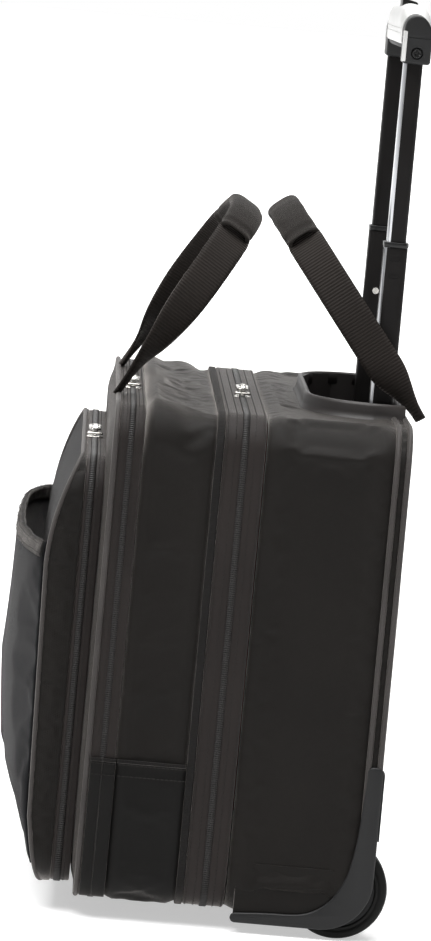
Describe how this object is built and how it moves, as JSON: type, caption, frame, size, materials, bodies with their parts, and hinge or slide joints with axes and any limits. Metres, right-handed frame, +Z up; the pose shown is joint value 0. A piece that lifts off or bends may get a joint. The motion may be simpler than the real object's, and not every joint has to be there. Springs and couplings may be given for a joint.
{
  "type": "rolling laptop case",
  "caption": "Upright soft laptop case on a pair of rear wheels, with zipped compartments, webbing carry handles and a telescopic pull handle.",
  "frame": {"origin": "on the floor, under the middle of the bounding box", "axes": "+X across the case to its right as seen from the front, +Y to the back with the wheels and pull handle, +Z up"},
  "size_m": [0.439, 0.298, 0.69],
  "materials": {
    "case_fabric": "ballistic twill weave",
    "pocket_fabric": "smooth coated twill",
    "zip_tape": "woven zip tape with nylon coil",
    "lining": "plain woven lining",
    "webbing": "ribbed woven webbing",
    "guard_plastic": "fine moulded grain",
    "black_plastic": "satin moulded",
    "wheel_rubber": "smooth moulded",
    "tube_alloy": "black anodised sides, bright front edge",
    "silver_plastic": "silver metallic paint",
    "plain_steel": "zinc plated",
    "nickel": "bright nickel plate"
  },
  "bodies": {
    "case": {"rear_gusset": "case_fabric", "back_panel": "case_fabric", "back_pocket": "case_fabric", "main_zip_tape_rear": "zip_tape", "back_board": "black_plastic", "base_board": "black_plastic", "laptop_sleeve": "lining", "trolley_tray": "guard_plastic", "tube_base": "black_plastic", "wheel_housing_left": "guard_plastic", "wheel_housing_right": "guard_plastic", "axle_left": "plain_steel", "axle_right": "plain_steel", "front_foot_left": "wheel_rubber", "front_foot_right": "wheel_rubber", "outer_tube_left": "tube_alloy", "outer_tube_right": "tube_alloy"},
    "middle_stage": {"middle_tube_left": "tube_alloy", "middle_tube_right": "tube_alloy", "stop_rivet_left": "nickel", "stop_rivet_right": "nickel", "middle_collar_left": "black_plastic", "middle_collar_right": "black_plastic", "middle_glide_left": "black_plastic", "middle_glide_right": "black_plastic"},
    "grip_stage": {"inner_tube_left": "tube_alloy", "inner_tube_right": "tube_alloy", "inner_glide_left": "black_plastic", "inner_glide_right": "black_plastic", "grip_cap_left": "black_plastic", "grip_cap_right": "black_plastic", "grip_screw_left": "plain_steel", "grip_screw_right": "plain_steel", "grip_shell": "silver_plastic", "grip_underside": "wheel_rubber"},
    "release": {"release_button": "black_plastic", "release_yoke": "plain_steel"},
    "wheel_left": {"tyre_left": "wheel_rubber", "wheel_hub_left": "black_plastic", "bearing_left": "plain_steel"},
    "wheel_right": {"tyre_right": "wheel_rubber", "wheel_hub_right": "black_plastic", "bearing_right": "plain_steel"},
    "front_section": {"main_zip_tape_front": "zip_tape", "second_compartment": "case_fabric", "second_zip_tape_rear": "zip_tape"},
    "second_lid": {"second_zip_tape_front": "zip_tape", "second_lid": "case_fabric"},
    "organizer": {"organizer_pocket": "pocket_fabric", "slip_pocket": "pocket_fabric"},
    "front_handle": {"front_handle_webbing": "webbing", "front_handle_sleeve": "webbing"},
    "rear_handle": {"rear_handle_webbing": "webbing", "rear_handle_sleeve": "webbing"},
    "main_slider": {"main_zip_slider": "nickel"},
    "main_pull": {"main_zip_pull": "nickel"},
    "second_slider": {"second_zip_slider": "nickel"},
    "second_pull": {"second_zip_pull": "nickel"},
    "organizer_slider": {"organizer_zip_slider": "nickel"},
    "organizer_pull": {"organizer_zip_pull": "nickel"}
  },
  "joints": [
    {"name": "middle_stage_slide", "type": "slide", "parent": "case", "child": "middle_stage", "axis": [0, 0, 1], "range_m": [-0.169, 0.075]},
    {"name": "grip_stage_slide", "type": "slide", "parent": "middle_stage", "child": "grip_stage", "axis": [0, 0, 1], "range_m": [-0.131, 0]},
    {"name": "release_button_press", "type": "slide", "parent": "grip_stage", "child": "release", "axis": [0, 0, -1], "range_m": [0, 0.004], "stiffness_N_per_m": 2500, "springref_m": -0.003},
    {"name": "wheel_left_spin", "type": "hinge", "parent": "case", "child": "wheel_left", "pos_m": [-0.2005, 0.11225, 0.03675], "axis": [1, 0, 0], "continuous": true},
    {"name": "wheel_right_spin", "type": "hinge", "parent": "case", "child": "wheel_right", "pos_m": [0.2005, 0.11225, 0.03675], "axis": [1, 0, 0], "continuous": true},
    {"name": "main_opening", "type": "hinge", "parent": "case", "child": "front_section", "pos_m": [0, 0.015, 0.012], "axis": [1, 0, 0], "range_deg": [0, 75]},
    {"name": "second_opening", "type": "hinge", "parent": "front_section", "child": "second_lid", "pos_m": [0, -0.068, 0.014], "axis": [1, 0, 0], "range_deg": [0, 60]},
    {"name": "organizer_opening", "type": "hinge", "parent": "second_lid", "child": "organizer", "pos_m": [0, -0.0935, 0.019], "axis": [1, 0, 0], "range_deg": [0, 60]},
    {"name": "front_handle_swing", "type": "hinge", "parent": "second_lid", "child": "front_handle", "pos_m": [0, -0.078, 0.381], "axis": [1, 0, 0], "range_deg": [0, 95]},
    {"name": "rear_handle_swing", "type": "hinge", "parent": "case", "child": "rear_handle", "pos_m": [0, 0.1395, 0.386], "axis": [1, 0, 0], "range_deg": [-10, 0]},
    {"name": "main_zip_run", "type": "slide", "parent": "case", "child": "main_slider", "axis": [1, 0, 0], "range_m": [-0.22, 0.11]},
    {"name": "second_zip_run", "type": "slide", "parent": "front_section", "child": "second_slider", "axis": [1, 0, 0], "range_m": [-0.14, 0.035]},
    {"name": "organizer_zip_run", "type": "slide", "parent": "second_lid", "child": "organizer_slider", "axis": [1, 0, 0], "range_m": [-0.17, 0.12]},
    {"name": "main_pull_swing", "type": "hinge", "parent": "main_slider", "child": "main_pull", "pos_m": [0.05, 0.015, 0.3842], "axis": [0, 1, 0], "range_deg": [0, 170]},
    {"name": "second_pull_swing", "type": "hinge", "parent": "second_slider", "child": "second_pull", "pos_m": [0.054, -0.068, 0.3842], "axis": [0, 1, 0], "range_deg": [0, 170]},
    {"name": "organizer_pull_swing", "type": "hinge", "parent": "organizer_slider", "child": "organizer_pull", "pos_m": [0.04, -0.0935, 0.3432], "axis": [0, 1, 0], "range_deg": [0, 170]}
  ]
}
